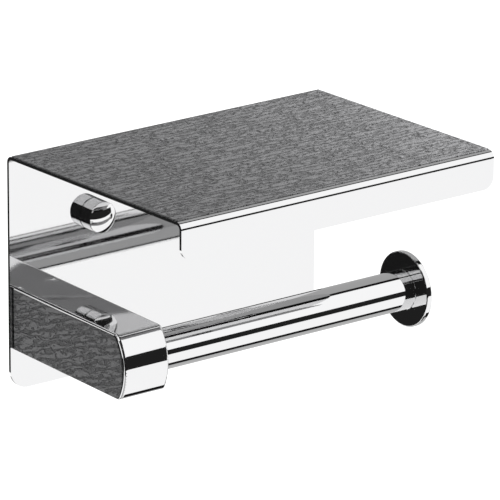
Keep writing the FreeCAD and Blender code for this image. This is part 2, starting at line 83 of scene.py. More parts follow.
def angle(name, text, default):
    """A setting that is an angle, given in degrees."""
    return bpy.props.FloatProperty(
        name=name, description=text, default=math.radians(default), subtype="ANGLE", unit="ROTATION"
    )


def number(name, text, default):
    return bpy.props.FloatProperty(name=name, description=text, default=default, precision=4)


def colour(name, text, default):
    return bpy.props.FloatVectorProperty(
        name=name, description=text, default=default, size=3, min=0.0, max=1.0, subtype="COLOR"
    )


class HolderSheetSettings(bpy.types.PropertyGroup):
    """Sizes of the bent sheet that its box doesn't give"""

    gauge: length("Gauge", "Thickness of the sheet", 1.5 * MM)
    bend_inner: length("Inside bend", "Inside radius of both bends", 2.0 * MM)
    shelf_rise: angle("Shelf rise", "Angle by which the shelf rises towards its lip", 1.5)
    lip_height: length("Lip height", "Shelf's top at its front down to the lip's edge", 18.0 * MM)
    plate_corner: length("Plate corner", "Radius of the plate's lower corners", 10.0 * MM)
    lip_corner: length("Lip corner", "Radius of the lip's lower corners", 6.0 * MM)
    edge_round: length("Edge rounding", "Rounding of the sheet's cut edges", 0.45 * MM)
    screw_hole: length("Screw hole", "Diameter of the wall-screw holes", 5.5 * MM)
    block_hole: length("Block hole", "Diameter of the block-screw holes", 3.2 * MM)
    block_sink: length("Countersink", "Diameter of the block holes at the back", 5.9 * MM)


class HolderArmSettings(bpy.types.PropertyGroup):
    """Sizes of the arm that its box doesn't give"""

    nose_radius: length("Nose radius", "Radius of the rounded nose", 27.0 * MM)
    nose_lower: length("Nose lowering", "Nose's centre below the arm's mid-height", 2.0 * MM)
    nose_corner: length("Nose corner", "Rounding where the nose meets the top and bottom", 2.5 * MM)
    cheek_round: length("Cheek rounding", "Rounding of the edge on the bar's side", 1.4 * MM)
    cover_bevel: length("Cover bevel", "Bright bevel round the side cover", 0.4 * MM)
    skin_margin: length("Skin margin", "Bright border between the bevel and the skin", 0.3 * MM)
    small_edge: length("Small edges", "Rounding of the bevel's own edges", 0.08 * MM)
    top_fall: length("Top fall", "How far the top falls from the bar's side to the skin", 0.3 * MM)


class HolderGrainSettings(bpy.types.PropertyGroup):
    """Embossed wood grain of the dark skins"""

    depth: length("Depth", "Depth of the embossed grain", 0.22 * MM)
    bump: length("Bump", "Height of the fine relief between the mesh lines", 1.1 * MM)
    ridge_length: length("Ridge length", "Typical length of a ridge", 7.5 * MM)
    ridge_width: length("Ridge width", "Typical width of a ridge", 1.3 * MM)
    wander: number("Wander", "How far the ridges wander, in ridge widths", 0.8)
    pitch: length("Mesh pitch", "Distance between the relief's mesh lines", 0.56 * MM)
    border: length("Smooth border", "Width over which the relief fades at the edges", 1.4 * MM)
    skin_colour: colour("Skin colour", "Colour of the dark skins", (0.086, 0.086, 0.088))
    skin_roughness: number("Skin roughness", "Roughness of the dark skins", 0.42)


class HolderBarSettings(bpy.types.PropertyGroup):
    """Sizes of the bar and disc that their boxes don't give"""

    wall: length("Tube wall", "Wall of the bar", 1.5 * MM)
    face: length("Disc thickness", "Thickness of the end disc", 3.1 * MM)
    rim_round: length("Disc rounding", "Rounding of the disc's rim", 0.7 * MM)
    spigot_fit: length("Spigot fit", "Radial clearance of the disc's spigot", 0.05 * MM)
    tube_edge: length("Tube edges", "Bevel of the tube's ends", 0.15 * MM)
    thread_hole: length("Thread hole", "Radius of the disc's threaded hole", 3.05 * MM)
    thread_depth: length("Thread depth", "How far the threaded hole enters the disc", 1.6 * MM)


class HolderCapSettings(bpy.types.PropertyGroup):
    """Sizes of the screw caps that their boxes don't give"""

    screw_hole: length("Screw hole", "Hole of a cap base", 5.5 * MM)
    head_room: length("Head room", "Bore of a cap base for the screw's head", 9.2 * MM)
    base_web: length("Base web", "Web clamped by the screw's head", 1.5 * MM)
    ring_offset: length("Ring offset", "Plate's face to the grip ring's groove", 2.4 * MM)
    ring_width: length("Ring width", "Width of the groove", 1.4 * MM)
    ring_depth: length("Ring depth", "Depth of the groove", 0.7 * MM)
    clearance: length("Clearance", "Radial clearance of a cap on its base", 0.08 * MM)
    floor_gap: length("Floor gap", "Air between the base's end and the cap's floor", 0.3 * MM)
    mouth_bevel: length("Mouth bevel", "Bevel at a cap's mouth", 0.35 * MM)
    dome_rise: length("Dome rise", "Rise of a cap's domed end", 2.0 * MM)
    rim_round: length("Rim rounding", "Rounding between the side and the dome", 0.5 * MM)
    small_edge: length("Small edges", "Bevel of the turned edges", 0.08 * MM)


class HolderFinishSettings(bpy.types.PropertyGroup):
    """Polished finish"""

    chrome: colour("Chrome", "Colour of the polished chrome", (0.66, 0.66, 0.664))
    polish: number("Polish roughness", "Roughness of the polished chrome", 0.036)
    haze: number("Wiping haze", "Share by which the roughness varies", 0.42)
    haze_scale: number("Haze scale", "Fineness of the wiping haze", 35.0)


class HolderStageSettings(bpy.types.PropertyGroup):
    """Floor, light and camera"""

    floor_reach: length("Floor reach", "Middle of the floor to its edges", 30.0)
    floor_drop: length("Floor drop", "How far the floor lies below the screws", 1.6)
    sky: number("Ambient light", "Strength of the even light from all round", 1.39)
    card: number("Card", "Strength of the grey cards behind and above", 0.50)
    under_card: number("Lower card", "Strength of the grey card below", 0.62)
    lamp: number("Side lamp", "Power of the soft lamp at the right", 9.0)
    lamp_size: length("Lamp size", "Width of the side lamp", 0.12)
    lamp_place: bpy.props.FloatVectorProperty(
        name="Lamp place", description="Where the side lamp stands", size=3, subtype="XYZ",
        default=(0.34, -0.20, 0.13), precision=4,
    )
    azimuth: angle("Azimuth", "Camera's turn round the holder", -37.12)
    elevation: angle("Elevation", "Camera's height above the horizon", 18.80)
    roll: angle("Roll", "Camera's turn about its own axis", 0.324)
    distance: length("Distance", "Camera to the middle of the holder", 2.509)
    lens: number("Lens", "Focal length in millimetres", 383.65)
    aim: bpy.props.FloatVectorProperty(
        name="Aim", description="Point that the camera looks at", size=3, subtype="XYZ",
        default=(0.01305, -0.05109, -0.01576), precision=5,
    )


# ---------------------------------------------------------------- meshes

def arc(centre, radius, first, last, steps=ARC_STEPS):
    """Points of an arc in a plane; angles in degrees, both ends included."""
    turns = [math.radians(first + (last - first) * n / steps) for n in range(steps + 1)]
    return [(centre[0] + radius * math.cos(t), centre[1] + radius * math.sin(t)) for t in turns]


def new_object(name, vertices, faces):
    """A closed, outward-facing, smooth mesh object at the origin."""
    mesh = bpy.data.meshes.new(name)
    mesh.from_pydata([tuple(v) for v in vertices], [], faces)
    piece = bpy.data.objects.new(name, mesh)
    bpy.context.scene.collection.objects.link(piece)
    clean(piece)
    return piece


def clean(piece, merge=1e-6):
    """Merge doubles, face every face outwards and shade smooth."""
    shape = bmesh.new()
    shape.from_mesh(piece.data)
    bmesh.ops.remove_doubles(shape, verts=shape.verts, dist=merge)
    bmesh.ops.dissolve_degenerate(shape, edges=shape.edges, dist=merge / 10)
    bmesh.ops.recalc_face_normals(shape, faces=shape.faces)
    shape.to_mesh(piece.data)
    shape.free()
    piece.data.shade_smooth()


def loft(name, rings):
    """A solid through closed rings of equally many points, capped at both ends."""
    count = len(rings[0])
    vertices = [point for ring in rings for point in ring]
    faces = [list(range(count)), list(range(len(vertices) - count, len(vertices)))]
    for row in range(len(rings) - 1):
        for n in range(count):
            here, there = row * count + n, row * count + (n + 1) % count
            faces.append((here, there, there + count, here + count))
    return new_object(name, vertices, faces)


def turned(name, profile, place, steps=TURN_STEPS):
    """A closed outline of (along, radius) points, turned about an axis.

    place(along, across, up) gives the point in the frame.
    """
    vertices, faces = [], []
    for n in range(steps):
        t = 2 * math.pi * n / steps
        vertices += [place(along, r * math.cos(t), r * math.sin(t)) for along, r in profile]
    count = len(profile)
    for n in range(steps):
        for k in range(count):
            a, b = n * count + k, n * count + (k + 1) % count
            c, d = (b + count) % len(vertices), (a + count) % len(vertices)
            corners = (a, b, c, d)
            if profile[k][1] == 0 and profile[(k + 1) % count][1] == 0:
                continue
            if profile[k][1] == 0:
                corners = (a, b, c)
            elif profile[(k + 1) % count][1] == 0:
                corners = (a, b, d)
            faces.append(corners)
    return new_object(name, vertices, faces)


def along_x(centre):
    return lambda along, across, up: (along, centre[0] + across, centre[1] + up)


def from_wall(centre):
    """Places a turned piece whose axis leaves the wall at (x, z)."""
    return lambda along, across, up: (centre[0] + across, -along, centre[1] + up)


def bevel(piece, width, segments=3, limit=30):
    """Round the edges sharper than the limit."""
    rounding = piece.modifiers.new("rounding", "BEVEL")
    rounding.width = width
    rounding.segments = segments
    rounding.limit_method = "ANGLE"
    rounding.angle_limit = math.radians(limit)
    rounding.miter_outer = "MITER_ARC"


def crease_between(piece, low, high):
    """Keep the edges whose angle lies between two values, in degrees, sharp when shaded."""
    shape = bmesh.new()
    shape.from_mesh(piece.data)
    for edge in shape.edges:
        if edge.is_manifold and low < math.degrees(edge.calc_face_angle()) < high:
            edge.smooth = False
    shape.to_mesh(piece.data)
    shape.free()


def bake(piece):
    """Turn the modifiers' result into a plain mesh whose flats stay flat when shaded."""
    normals = piece.modifiers.new("flats", "WEIGHTED_NORMAL")
    normals.weight = 100
    normals.keep_sharp = True
    graph = bpy.context.evaluated_depsgraph_get()
    result = bpy.data.meshes.new_from_object(
        piece.evaluated_get(graph), preserve_all_data_layers=True, depsgraph=graph
    )
    piece.modifiers.clear()
    piece.data = result


def settle(piece, material, nodes, body=HOLDER):
    """Give a finished piece its material and its body, and hide the nodes it stands for."""
    if material is not None:
        piece.data.materials.clear()
        piece.data.materials.append(material)
    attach(piece, body)
    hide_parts(*nodes)


# ---------------------------------------------------------------- node trees

def joined(tree, kind, inputs=None, **attributes):
    """A new node of a tree; an input is a socket to link or a value to set."""
    node = tree.nodes.new(kind)
    for name, given in attributes.items():
        setattr(node, name, given)
    for key, given in (inputs or {}).items():
        if isinstance(given, bpy.types.NodeSocket):
            tree.links.new(given, node.inputs[key])
        else:
            node.inputs[key].default_value = given
    return node


def maths(tree, operation, *operands):
    return joined(
        tree, "ShaderNodeMath", dict(enumerate(operands)), operation=operation
    ).outputs[0]


def vector_maths(tree, operation, *operands, output=0):
    return joined(
        tree, "ShaderNodeVectorMath", dict(enumerate(operands)), operation=operation
    ).outputs[output]


def noise(tree, vector, scale, detail=2.0, roughness=0.5, distortion=0.0):
    node = joined(
        tree,
        "ShaderNodeTexNoise",
        {"Vector": vector, "Scale": scale, "Detail": detail, "Roughness": roughness,
         "Distortion": distortion},
    )
    return node.outputs[0]


def grain_height(tree, place, along, across, ridge_length, ridge_width, wander):
    """Height of the embossed grain, 0 to 1, at a place; works in shader and geometry trees."""
    run = vector_maths(tree, "DOT_PRODUCT", place, along, output=1)
    side = vector_maths(tree, "DOT_PRODUCT", place, across, output=1)
    run = maths(tree, "DIVIDE", run, ridge_length)
    side = maths(tree, "DIVIDE", side, ridge_width)
    flat = joined(tree, "ShaderNodeCombineXYZ", {0: run, 1: side, 2: 0.0}).outputs[0]
    sway = maths(tree, "SUBTRACT", noise(tree, flat, WANDER_SCALE, 2.0, 0.5), 0.5)
    reach = maths(tree, "MULTIPLY", wander, WANDER_REACH)
    side = maths(tree, "ADD", side, maths(tree, "MULTIPLY", sway, reach))
    bent = joined(tree, "ShaderNodeCombineXYZ", {0: run, 1: side, 2: 3.7}).outputs[0]
    broken = noise(tree, bent, BREAK_SCALE, 3.0, 0.6, 0.5)
    turn = maths(tree, "MULTIPLY", side, RIDGE_TURN)
    phase = maths(tree, "ADD", turn, maths(tree, "MULTIPLY", broken, BREAK_REACH))
    stripe = maths(tree, "SINE", phase)
    return joined(
        tree, "ShaderNodeMapRange",
        {"Value": stripe, "From Min": TROUGH, "From Max": CREST, "To Min": 0.0, "To Max": 1.0},
        interpolation_type="SMOOTHSTEP",
    ).outputs[0]


def group_input(tree, name, kind, default=None):
    """Adds a named input to a geometry tree and gives its socket's identifier."""
    socket = tree.interface.new_socket(name, in_out="INPUT", socket_type=kind)
    if default is not None:
        socket.default_value = default
    return socket.identifier


EMBOSS_INPUTS = [
    ("Along", "NodeSocketVector"),
    ("Across", "NodeSocketVector"),
    ("Outwards", "NodeSocketVector"),
    ("Depth", "NodeSocketFloat"),
    ("Ridge Length", "NodeSocketFloat"),
    ("Ridge Width", "NodeSocketFloat"),
    ("Wander", "NodeSocketFloat"),
    ("Material", "NodeSocketMaterial"),
]


def emboss_tree():
    """Geometry tree that presses the grain into the faces marked by the attribute relief."""
    tree = bpy.data.node_groups.get("Emboss Grain")
    if tree:
        return tree
    tree = bpy.data.node_groups.new("Emboss Grain", "GeometryNodeTree")
    group_input(tree, "Geometry", "NodeSocketGeometry")
    for name, kind in EMBOSS_INPUTS:
        group_input(tree, name, kind)
    tree.interface.new_socket("Geometry", in_out="OUTPUT", socket_type="NodeSocketGeometry")
    given = tree.nodes.new("NodeGroupInput").outputs
    place = tree.nodes.new("GeometryNodeInputPosition").outputs[0]
    height = grain_height(
        tree, place, given["Along"], given["Across"],
        given["Ridge Length"], given["Ridge Width"], given["Wander"],
    )
    mark = joined(tree, "GeometryNodeInputNamedAttribute", {"Name": "relief"}, data_type="FLOAT")
    down = maths(tree, "SUBTRACT", height, 1.0)
    down = maths(tree, "MULTIPLY", down, maths(tree, "MULTIPLY", given["Depth"], mark.outputs[0]))
    scaled = joined(
        tree, "ShaderNodeVectorMath", {0: given["Outwards"], "Scale": down}, operation="SCALE"
    ).outputs[0]
    moved = joined(
        tree, "GeometryNodeSetPosition", {"Geometry": given["Geometry"], "Offset": scaled}
    ).outputs[0]
    real = joined(tree, "GeometryNodeRealizeInstances", {"Geometry": moved}).outputs[0]
    dressed = joined(
        tree, "GeometryNodeSetMaterial", {"Geometry": real, "Material": given["Material"]}
    ).outputs[0]
    joined(tree, "NodeGroupOutput", {"Geometry": dressed})
    return tree


def emboss(piece, along, across, outwards, material):
    """Press the grain into a piece and keep the result as its mesh."""
    grain = bpy.context.scene.holder_grain
    modifier = piece.modifiers.new("emboss", "NODES")
    modifier.node_group = emboss_tree()
    values = {
        "Along": along,
        "Across": across,
        "Outwards": outwards,
        "Depth": grain.depth,
        "Ridge Length": grain.ridge_length,
        "Ridge Width": grain.ridge_width,
        "Wander": grain.wander,
        "Material": material,
    }
    for item in modifier.node_group.interface.items_tree:
        if item.in_out == "INPUT" and item.name in values:
            modifier[item.identifier] = values[item.name]
    graph = bpy.context.evaluated_depsgraph_get()
    result = bpy.data.meshes.new_from_object(
        piece.evaluated_get(graph), preserve_all_data_layers=True, depsgraph=graph
    )
    piece.modifiers.clear()
    piece.data = result


# ---------------------------------------------------------------- materials

def new_material(name):
    """An empty node material, its tree and its Principled shader."""
    material = bpy.data.materials.new(name)
    material.use_nodes = True
    tree = material.node_tree
    return material, tree, tree.nodes["Principled BSDF"]


def object_place(tree):
    return tree.nodes.new("ShaderNodeTexCoord").outputs["Object"]


def between(tree, factor, low, high):
    return joined(
        tree, "ShaderNodeMapRange", {"Value": factor, "To Min": low, "To Max": high}
    ).outputs[0]


def bump(tree, shader, height, distance, strength=1.0):
    node = joined(
        tree, "ShaderNodeBump", {"Height": height, "Distance": distance, "Strength": strength}
    )
    tree.links.new(node.outputs[0], shader.inputs["Normal"])


def polished(name):
    """Polished chrome with faint wiping haze."""
    finish = bpy.context.scene.holder_finish
    material, tree, shader = new_material(name)
    place = object_place(tree)
    shader.inputs["Metallic"].default_value = 1.0
    shader.inputs["Base Color"].default_value = (*finish.chrome, 1.0)
    haze = noise(tree, place, finish.haze_scale, 4.0, 0.6)
    roughness = between(tree, haze, finish.polish * (1 - finish.haze), finish.polish * (1 + finish.haze))
    tree.links.new(roughness, shader.inputs["Roughness"])
    return material


def dark_skin(name, along, across):
    """Dark grey skin with an embossed wood grain."""
    grain = bpy.context.scene.holder_grain
    material, tree, shader = new_material(name)
    place = object_place(tree)
    height = grain_height(
        tree, place, along, across, grain.ridge_length, grain.ridge_width, grain.wander
    )
    speck = noise(tree, place, 2600.0, 2.0, 0.6)
    # The skin's colour follows the grain's height: darker in the troughs, lighter on the crests, with a
    # fine random speckle on top.
    tone = maths(tree, "ADD", maths(tree, "MULTIPLY", height, 0.45), maths(tree, "MULTIPLY", speck, 0.3))
    shade = joined(tree, "ShaderNodeMix", {"Factor": tone}, data_type="RGBA")
    shade.inputs["A"].default_value = tuple(c * 0.55 for c in grain.skin_colour) + (1.0,)
    shade.inputs["B"].default_value = tuple(c * 1.35 for c in grain.skin_colour) + (1.0,)
    tree.links.new(shade.outputs["Result"], shader.inputs["Base Color"])
    roughness = between(tree, speck, grain.skin_roughness - 0.08, grain.skin_roughness + 0.08)
    tree.links.new(roughness, shader.inputs["Roughness"])
    relief = maths(tree, "ADD", height, maths(tree, "MULTIPLY", speck, 0.25))
    bump(tree, shader, relief, grain.bump)
    return material


def plain_metal(name, tint, rough, grain_scale, metallic=1.0):
    """Machined or cast metal with a fine tool grain."""
    material, tree, shader = new_material(name)
    place = object_place(tree)
    shader.inputs["Metallic"].default_value = metallic
    grit = noise(tree, place, grain_scale, 3.0, 0.6)
    shade = joined(tree, "ShaderNodeMix", {"Factor": grit}, data_type="RGBA")
    shade.inputs["A"].default_value = tuple(c * 0.8 for c in tint) + (1.0,)
    shade.inputs["B"].default_value = (*tint, 1.0)
    tree.links.new(shade.outputs["Result"], shader.inputs["Base Color"])
    tree.links.new(between(tree, grit, rough * 0.8, rough * 1.2), shader.inputs["Roughness"])
    bump(tree, shader, grit, 0.02 * MM)
    return material


# ---------------------------------------------------------------- the bent sheet

class SheetPath:
    """Outer side of the bent sheet, seen from the right: straight runs and left-hand bends."""

    def __init__(self):
        s = bpy.context.scene.holder_sheet
        low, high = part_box("bent_plate")
        self.gauge = s.gauge
        radius = s.bend_inner + s.gauge
        rise = s.shelf_rise
        self.foot = low.z
        self.slope = math.tan(rise)
        lip_centre = Vector((low.y + radius, high.z - radius))
        self.up = Vector((math.sin(rise), math.cos(rise)))
        front_end = lip_centre + radius * self.up
        self.plane = self.up.dot(front_end)
        wall_centre_y = high.y - radius
        wall_centre_z = (self.plane - radius - self.up.x * wall_centre_y) / self.up.y
        rear_end = Vector((wall_centre_y, wall_centre_z)) + radius * self.up
        lip_foot = self.top_at(low.y) - s.lip_height
        self.parts = []
        self.length = 0.0
        start, heading = Vector((high.y, low.z)), math.pi / 2
        quarter = math.pi / 2
        for run, turn in (
            (wall_centre_z - low.z, 0.0),
            (radius * (quarter - rise), quarter - rise),
            ((front_end - rear_end).length, 0.0),
            (radius * (quarter + rise), quarter + rise),
            (lip_centre.y - lip_foot, 0.0),
        ):
            self.parts.append((self.length, run, start, heading, turn))
            start, heading = self.step(self.parts[-1], run)
            self.length += run

    def top_at(self, y):
        """Height of the shelf's top plane at a distance from the wall."""
        return (self.plane - self.up.x * y) / self.up.y

    @staticmethod
    def step(part, distance):
        """Point and heading at a distance along one part."""
        _, run, start, heading, turn = part
        if turn == 0.0:
            return start + distance * Vector((math.cos(heading), math.sin(heading))), heading
        radius, now = run / turn, heading + distance / run * turn
        centre = start + radius * Vector((-math.sin(heading), math.cos(heading)))
        return centre + radius * Vector((math.sin(now), -math.cos(now))), now

    def at(self, distance, depth):
        """(y, z) at a distance along the outer side and a depth below it."""
        part = next((p for p in reversed(self.parts) if p[0] <= distance), self.parts[0])
        point, heading = self.step(part, distance - part[0])
        return point - depth * Vector((math.sin(heading), -math.cos(heading)))

    def bend_lines(self):
        """Distances at which a bend starts, ends or is cut into strips."""
        lines = []
        for start, run, _, _, turn in self.parts:
            if turn:
                lines += [start + run * n / ARC_STEPS for n in range(ARC_STEPS + 1)]
        return lines


def sheet_pattern(path):
    """Outline and holes of the flat sheet, as loops of (x, distance along the sheet)."""
    s = bpy.context.scene.holder_sheet
    low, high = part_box("bent_plate")
    foot, lip = s.plate_corner, s.lip_corner
    outline = arc((low.x + foot, foot), foot, 180, 270)
    outline += arc((high.x - foot, foot), foot, 270, 360)
    outline += arc((high.x - lip, path.length - lip), lip, 0, 90)
    outline += arc((low.x + lip, path.length - lip), lip, 90, 180)
    loops = [(outline, None)]
    for side in ("left", "right"):
        a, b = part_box(f"cap_base_{side}")
        centre = ((a.x + b.x) / 2, (a.z + b.z) / 2 - path.foot)
        loops.append((arc(centre, s.screw_hole / 2, 0, 360, 2 * ARC_STEPS)[:-1], None))
    a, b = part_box("block_screws")
    middle, reach = (a.x + b.x) / 2, (b.x - a.x) / 2
    for z in (a.z + reach, b.z - reach):
        centre = (middle, z - path.foot)
        ring = arc(centre, s.block_hole / 2, 0, 360, 2 * ARC_STEPS)[:-1]
        loops.append((ring, (centre, s.block_sink / s.block_hole)))
    return loops


def make_sheet():
    """Wall plate, shelf and lip as one bent sheet with rounded cut edges."""
    s = bpy.context.scene.holder_sheet
    path = SheetPath()
    shape = bmesh.new()
    sunk = []
    for loop, sink in sheet_pattern(path):
        corners = [shape.verts.new((x, along, 0.0)) for x, along in loop]
        for a, b in zip(corners, corners[1:] + corners[:1]):
            shape.edges.new((a, b))
        if sink:
            sunk.append(sink)
    bmesh.ops.remove_doubles(shape, verts=shape.verts, dist=1e-7)
    bmesh.ops.triangle_fill(shape, use_beauty=True, edges=shape.edges[:])
    for line in path.bend_lines():
        bmesh.ops.bisect_plane(
            shape, geom=shape.verts[:] + shape.edges[:] + shape.faces[:], dist=1e-8,
            plane_co=(0, line, 0), plane_no=(0, 1, 0),
        )
    grown = bmesh.ops.extrude_face_region(shape, geom=shape.faces[:])
    outer = [v for v in grown["geom"] if isinstance(v, bmesh.types.BMVert)]
    for vertex in outer:
        vertex.co.z = path.gauge
    for vertex in shape.verts:
        x, along, height = vertex.co
        for centre, ratio in sunk:
            away = Vector((x - centre[0], along - centre[1]))
            if height > 0 and abs(away.length - s.block_hole / 2) < 1e-5:
                x, along = centre[0] + away.x * ratio, centre[1] + away.y * ratio
        y, z = path.at(along, path.gauge - height)
        vertex.co = (x, y, z)
    mesh = bpy.data.meshes.new("bent_sheet")
    shape.to_mesh(mesh)
    shape.free()
    piece = bpy.data.objects.new("bent_sheet", mesh)
    bpy.context.scene.collection.objects.link(piece)
    clean(piece)
    crease_between(piece, 35, 50)
    bevel(piece, s.edge_round, 4, 50)
    bake(piece)
    return piece


# ---------------------------------------------------------------- the skins

def slab(name, surface, columns, rows, border, thickness):
    """A thin closed slab whose face is a fine grid; surface(u, v) gives its points.

    The attribute relief is 1 on the face and fades to 0 over the border.
    """
    lines = [(n / columns, m / rows) for m in range(rows + 1) for n in range(columns + 1)]
    top = [Vector(surface(u, v)) for u, v in lines]
    stride = columns + 1
    rim = list(range(stride)) + [m * stride + columns for m in range(1, rows + 1)]
    rim += [rows * stride + n for n in range(columns - 1, -1, -1)]
    rim += [m * stride for m in range(rows - 1, 0, -1)]
    vertices = top + [top[n] + thickness for n in rim]
    base = len(top)
    faces = [
        (m * stride + n, m * stride + n + 1, (m + 1) * stride + n + 1, (m + 1) * stride + n)
        for m in range(rows) for n in range(columns)
    ]
    count = len(rim)
    faces += [(rim[k], rim[(k + 1) % count], base + (k + 1) % count, base + k) for k in range(count)]
    faces.append(list(range(base, base + count)))
    mesh = bpy.data.meshes.new(name)
    mesh.from_pydata([tuple(v) for v in vertices], [], faces)
    width = (top[columns] - top[0]).length
    depth = (top[rows * stride] - top[0]).length
    weights = []
    for u, v in lines:
        edge = min(u * width, (1 - u) * width, v * depth, (1 - v) * depth) / border
        weights.append(min(1.0, max(0.0, edge)))
    weights += [0.0] * count
    mesh.attributes.new("relief", "FLOAT", "POINT").data.foreach_set("value", weights)
    piece = bpy.data.objects.new(name, mesh)
    bpy.context.scene.collection.objects.link(piece)
    shape = bmesh.new()
    shape.from_mesh(mesh)
    bmesh.ops.recalc_face_normals(shape, faces=shape.faces)
    shape.to_mesh(mesh)
    shape.free()
    mesh.shade_smooth()
    return piece


def make_shelf_skin():
    """Embossed skin on the shelf, from bend to bend."""
    grain = bpy.context.scene.holder_grain
    path = SheetPath()
    low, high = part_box("shelf_skin")
    cad_top = high.z
    gauge = (cad_top - path.top_at(low.y)) * path.up.y
    across = Vector((0.0, -path.up.y, path.up.x))
    normal = Vector((0.0, path.up.x, path.up.y))

    def surface(u, v):
        x = low.x + u * (high.x - low.x)
        y = high.y + v * (low.y - high.y)
        return Vector((x, y, path.top_at(y))) + gauge * normal

    columns = round((high.x - low.x) / grain.pitch)
    rows = round((high.y - low.y) / grain.pitch)
    material = dark_skin("shelf skin", (1.0, 0.0, 0.0), tuple(across))
    piece = slab("shelf_skin_embossed", surface, columns, rows, grain.border, -gauge * normal)
    emboss(piece, (1.0, 0.0, 0.0), tuple(across), tuple(normal), material)
    settle(piece, None, ["shelf_skin"])


# ---------------------------------------------------------------- the arm

class ArmShape:
    """Side view of the arm: flat top and bottom, square at the wall, rounded nose."""

    def __init__(self):
        self.s = bpy.context.scene.holder_arm
        shell_low, shell_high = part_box("arm_shell")
        cover_low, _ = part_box("arm_cover")
        skin_low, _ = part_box("arm_skin")
        self.wall = shell_high.y
        self.tip = shell_low.y
        self.middle = (shell_low.z + shell_high.z) / 2
        self.half = (shell_high.z - shell_low.z) / 2
        self.right = shell_high.x
        self.cover_right = shell_low.x
        self.skin_right = cover_low.x
        self.left = skin_low.x

    def corner(self, side, inset):
        """Rounded corner above (side 1) or below (side -1): centre y and z, radius and lean."""
        nose = self.s.nose_radius - inset
        radius = max(self.s.nose_corner - inset, 1e-5)
        z = side * (self.half - inset - radius)
        rise = z + self.s.nose_lower
        away = math.sqrt((nose - radius) ** 2 - rise**2)
        return self.tip + self.s.nose_radius - away, z, radius, math.atan2(rise, away)

    def front(self, height, inset=0.0):
        """Place of the nose at a height from the arm's middle, inset all round."""
        nose = self.s.nose_radius - inset
        y, z, radius, lean = self.corner(1 if height > 0 else -1, inset)
        rise = height + self.s.nose_lower
        if abs(rise) <= nose * abs(math.sin(lean)):
            return self.tip + self.s.nose_radius - math.sqrt(nose**2 - rise**2)
        return y - math.sqrt(max(radius**2 - (height - z) ** 2, 0.0))

    def outline(self, inset=0.0, wall_inset=0.0, steps=56):
        """Closed outline of (y, z) points, from the wall's lower corner over the top."""
        half = self.half - inset
        nose = self.s.nose_radius - inset
        upper_y, upper_z, radius, upper = self.corner(1, inset)
        lower_y, lower_z, _, lower = self.corner(-1, inset)
        upper, lower = 180 - math.degrees(upper), 180 - math.degrees(lower)
        centre = (self.tip + self.s.nose_radius, self.middle - self.s.nose_lower)
        points = [(self.wall - wall_inset, self.middle - half)]
        points += [(self.wall - wall_inset, self.middle + half)]
        points += arc((upper_y, self.middle + upper_z), radius, 90, upper, steps // 4)
        points += arc(centre, nose, upper, lower, steps)[1:-1]
        points += arc((lower_y, self.middle + lower_z), radius, lower, 270, steps // 4)
        return points

    def ring(self, x, inset=0.0):
        """Outline at a place across the arm, its upper half lowered by the top's fall."""
        fall = self.s.top_fall * (self.right - x) / (self.right - self.skin_right)
        points = []
        for y, z in self.outline(inset):
            share = max(0.0, (z - self.middle) / self.half)
            points.append((x, y, z - fall * share))
        return points


def make_arm_shell():
    """Casting of the arm: a smooth outside, and the casting's own inside."""
    arm = ArmShape()
    radius = arm.s.cheek_round
    straight = arm.right - radius - arm.cover_right
    stations = [(arm.cover_right + straight * n / ARC_STEPS, 0.0) for n in range(ARC_STEPS)]
    for step in range(CHEEK_STEPS + 1):
        turn = math.pi / 2 * step / CHEEK_STEPS
        stations.append((arm.right - radius + radius * math.sin(turn), radius - radius * math.cos(turn)))
    outside = loft("arm_shell_polished", [arm.ring(x, inset) for x, inset in stations])
    inside = bpy.data.objects.new("arm_inside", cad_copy("arm_shell"))
    bpy.context.scene.collection.objects.link(inside)
    cut = outside.modifiers.new("inside", "BOOLEAN")
    cut.operation = "INTERSECT"
    cut.solver = "EXACT"
    cut.object = inside
    bake(outside)
    bpy.data.objects.remove(inside)
    return outside


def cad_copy(node):
    """A merged copy of a frame node's mesh."""
    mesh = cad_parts[node].data.copy()
    shape = bmesh.new()
    shape.from_mesh(mesh)
    bmesh.ops.remove_doubles(shape, verts=shape.verts, dist=1e-6)
    shape.to_mesh(mesh)
    shape.free()
    return mesh


def make_arm_cover():
    """Side cover with its bright bevelled edge."""
    arm = ArmShape()
    b = arm.s.cover_bevel
    edge = arm.s.small_edge
    rings = [
        arm.ring(arm.cover_right, 0.0),
        arm.ring(arm.skin_right + b + edge, 0.0),
        arm.ring(arm.skin_right + b - edge * 0.3, edge * 0.3),
        arm.ring(arm.skin_right + edge * 0.3, b - edge * 0.3),
        arm.ring(arm.skin_right, b + edge),
    ]
    piece = loft("arm_cover_polished", rings)
    bake(piece)
    return piece


def make_arm_skin():
    """Skin on the arm's side, its face marked for the grain that is pressed in later."""
    grain = bpy.context.scene.holder_grain
    arm = ArmShape()
    low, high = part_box("arm_skin")
    inset = arm.s.cover_bevel + arm.s.skin_margin
    half = arm.half - inset

    def surface(u, v):
        z = arm.middle + (2 * v - 1) * half
        front = arm.front((2 * v - 1) * half, inset)
        return (low.x, high.y + u * (front - high.y), z)

    columns = round((high.y - low.y) / grain.pitch * 1.2)
    rows = round(2 * half / grain.pitch * 1.2)
    thickness = Vector((high.x - low.x, 0.0, 0.0))
    return slab("arm_skin_embossed", surface, columns, rows, grain.border / 2, thickness)


# ---------------------------------------------------------------- operators

class HOLDER_OT_sheet(bpy.types.Operator):
    """Wall plate, shelf and lip, bent from one polished sheet"""

    bl_idname = "holder.sheet"
    bl_label = "Bent sheet"

    def execute(self, context):
        piece = make_sheet()
        settle(piece, polished("polished sheet"), ["bent_plate"])
        return {"FINISHED"}


class HOLDER_OT_shelf_skin(bpy.types.Operator):
    """Embossed dark skin on the shelf"""

    bl_idname = "holder.shelf_skin"
    bl_label = "Shelf skin"

    def execute(self, context):
        make_shelf_skin()
        return {"FINISHED"}


